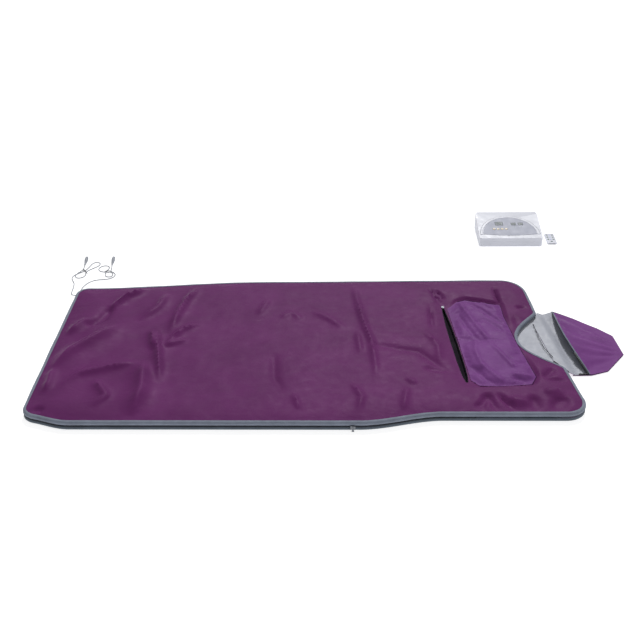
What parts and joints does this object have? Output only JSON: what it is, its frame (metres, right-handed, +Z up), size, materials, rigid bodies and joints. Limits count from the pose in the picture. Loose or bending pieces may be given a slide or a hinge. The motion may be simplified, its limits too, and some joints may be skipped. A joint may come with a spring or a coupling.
{
  "type": "infrared sauna blanket",
  "caption": "Heated fold-open zip blanket with hood, arm slit and pouch, heater leads, two-zone controller box and card remote.",
  "frame": {"origin": "on the floor under the middle of the blanket's base", "axes": "+X from the feet to the head, +Y to the side where the cover folds back, +Z up"},
  "size_m": [2.0737, 1.432, 0.073],
  "materials": {
    "cover_nylon": "satin coated nylon",
    "hood_nylon": "ripstop nylon",
    "insulation": "needled cotton",
    "heater_web": "quilted heater web",
    "lining": "coated grey lining",
    "binding": "grosgrain",
    "zip_tape": "nylon coil tape",
    "zip_metal": "satin",
    "lead_grey": "matte",
    "controller_white": "satin",
    "panel_overlay": "printed overlay",
    "display_window": "gloss",
    "gold_key": "satin",
    "circuit_board": "solder resist",
    "black_plastic": "matte",
    "transformer_copper": "varnished",
    "remote_white": "matte",
    "cell_steel": "brushed",
    "blue_key": "matte",
    "red_key": "matte"
  },
  "bodies": {
    "base": {"base_outer_shell": "cover_nylon", "base_insulation": "insulation", "base_thermostat": "black_plastic", "base_heating_layer": "heater_web", "base_lining": "lining", "hood_root_panel": "lining", "base_binding": "binding", "base_zip_tape": "zip_tape", "lead_gland_left": "lead_grey", "lead_gland_right": "lead_grey", "lead_left": "lead_grey", "lead_right": "lead_grey", "lead_plug_left": "lead_grey", "lead_plug_right": "lead_grey", "fuse_cap": "lead_grey", "controller_bottom_case": "controller_white", "controller_top_case": "controller_white", "control_panel": "panel_overlay", "time_display": "display_window", "zone_one_display": "display_window", "zone_two_display": "display_window", "display_board": "circuit_board", "main_board": "circuit_board", "remote_board": "circuit_board", "mains_inlet": "black_plastic", "lead_socket_1": "black_plastic", "lead_socket_2": "black_plastic", "power_switch_frame": "black_plastic", "transformer": "transformer_copper", "remote_back_case": "remote_white", "remote_front_case": "remote_white"},
    "cover": {"cover_lining": "lining", "cover_heating_layer": "heater_web", "cover_insulation": "insulation", "cover_thermostat": "black_plastic", "cover_outer_shell": "cover_nylon", "cover_binding": "binding", "cover_zip_tape": "zip_tape", "arm_zip_tape": "zip_tape"},
    "hood": {"hood_back_panel": "lining", "hood_top_panel": "hood_nylon"},
    "pouch": {"pouch_back_panel": "hood_nylon", "pouch_front_panel": "hood_nylon"},
    "zip_slider": {"zip_slider": "zip_metal"},
    "zip_pull": {"zip_pull": "zip_metal"},
    "arm_zip_slider": {"arm_zip_slider": "zip_metal"},
    "power_rocker": {"power_rocker": "black_plastic"},
    "battery_tray": {"battery_tray": "remote_white", "coin_cell": "cell_steel"},
    "key_power": {"key_power": "gold_key"},
    "key_timer": {"key_timer": "gold_key"},
    "key_zone_one": {"key_zone_one": "gold_key"},
    "key_zone_two": {"key_zone_two": "gold_key"},
    "remote_key_time_down": {"remote_key_time_down": "blue_key"},
    "remote_key_time_up": {"remote_key_time_up": "blue_key"},
    "remote_key_one_down": {"remote_key_one_down": "blue_key"},
    "remote_key_one_up": {"remote_key_one_up": "blue_key"},
    "remote_key_two_down": {"remote_key_two_down": "blue_key"},
    "remote_key_two_up": {"remote_key_two_up": "blue_key"},
    "remote_key_power": {"remote_key_power": "red_key"}
  },
  "joints": [
    {"name": "cover_fold", "type": "hinge", "parent": "base", "child": "cover", "pos_m": [0, 0.4595, 0.0165], "axis": [-1, 0, 0], "range_deg": [0, 160]},
    {"name": "hood_fold", "type": "hinge", "parent": "base", "child": "hood", "pos_m": [0.9, 0, 0.012], "axis": [0, -1, 0], "range_deg": [0, 90]},
    {"name": "pouch_fold", "type": "hinge", "parent": "cover", "child": "pouch", "pos_m": [0.5345, 0, 0.0307], "axis": [0.0817, -0.9967, 0], "range_deg": [0, 110]},
    {"name": "main_zip_slide", "type": "slide", "parent": "base", "child": "zip_slider", "axis": [-1, 0, 0], "range_m": [0, 0.86]},
    {"name": "zip_pull_swing", "type": "hinge", "parent": "zip_slider", "child": "zip_pull", "pos_m": [0.16, -0.4484, 0.0188], "axis": [-1, 0, 0], "range_deg": [0, 120]},
    {"name": "arm_zip_slide", "type": "slide", "parent": "cover", "child": "arm_zip_slider", "axis": [0.0817, -0.9967, 0], "range_m": [0, 0.455]},
    {"name": "power_rocker_tilt", "type": "hinge", "parent": "base", "child": "power_rocker", "pos_m": [0.7577, 0.9748, 0.044], "axis": [1, 0, 0], "range_deg": [-10, 10]},
    {"name": "battery_tray_slide", "type": "slide", "parent": "base", "child": "battery_tray", "axis": [0, -1, 0], "range_m": [0, 0.027]},
    {"name": "key_power_press", "type": "slide", "parent": "base", "child": "key_power", "axis": [0, 0.156, -0.9878], "range_m": [0, 0.0012], "stiffness_N_per_m": 500, "springref_m": -0.0006},
    {"name": "key_timer_press", "type": "slide", "parent": "base", "child": "key_timer", "axis": [0, 0.156, -0.9878], "range_m": [0, 0.0012], "stiffness_N_per_m": 500, "springref_m": -0.0006},
    {"name": "key_zone_one_press", "type": "slide", "parent": "base", "child": "key_zone_one", "axis": [0, 0.156, -0.9878], "range_m": [0, 0.0012], "stiffness_N_per_m": 500, "springref_m": -0.0006},
    {"name": "key_zone_two_press", "type": "slide", "parent": "base", "child": "key_zone_two", "axis": [0, 0.156, -0.9878], "range_m": [0, 0.0012], "stiffness_N_per_m": 500, "springref_m": -0.0006},
    {"name": "remote_key_time_down_press", "type": "slide", "parent": "base", "child": "remote_key_time_down", "axis": [0, 0, -1], "range_m": [0, 0.0004], "stiffness_N_per_m": 800, "springref_m": -0.0003},
    {"name": "remote_key_time_up_press", "type": "slide", "parent": "base", "child": "remote_key_time_up", "axis": [0, 0, -1], "range_m": [0, 0.0004], "stiffness_N_per_m": 800, "springref_m": -0.0003},
    {"name": "remote_key_one_down_press", "type": "slide", "parent": "base", "child": "remote_key_one_down", "axis": [0, 0, -1], "range_m": [0, 0.0004], "stiffness_N_per_m": 800, "springref_m": -0.0003},
    {"name": "remote_key_one_up_press", "type": "slide", "parent": "base", "child": "remote_key_one_up", "axis": [0, 0, -1], "range_m": [0, 0.0004], "stiffness_N_per_m": 800, "springref_m": -0.0003},
    {"name": "remote_key_two_down_press", "type": "slide", "parent": "base", "child": "remote_key_two_down", "axis": [0, 0, -1], "range_m": [0, 0.0004], "stiffness_N_per_m": 800, "springref_m": -0.0003},
    {"name": "remote_key_two_up_press", "type": "slide", "parent": "base", "child": "remote_key_two_up", "axis": [0, 0, -1], "range_m": [0, 0.0004], "stiffness_N_per_m": 800, "springref_m": -0.0003},
    {"name": "remote_key_power_press", "type": "slide", "parent": "base", "child": "remote_key_power", "axis": [0, 0, -1], "range_m": [0, 0.0004], "stiffness_N_per_m": 800, "springref_m": -0.0003}
  ]
}
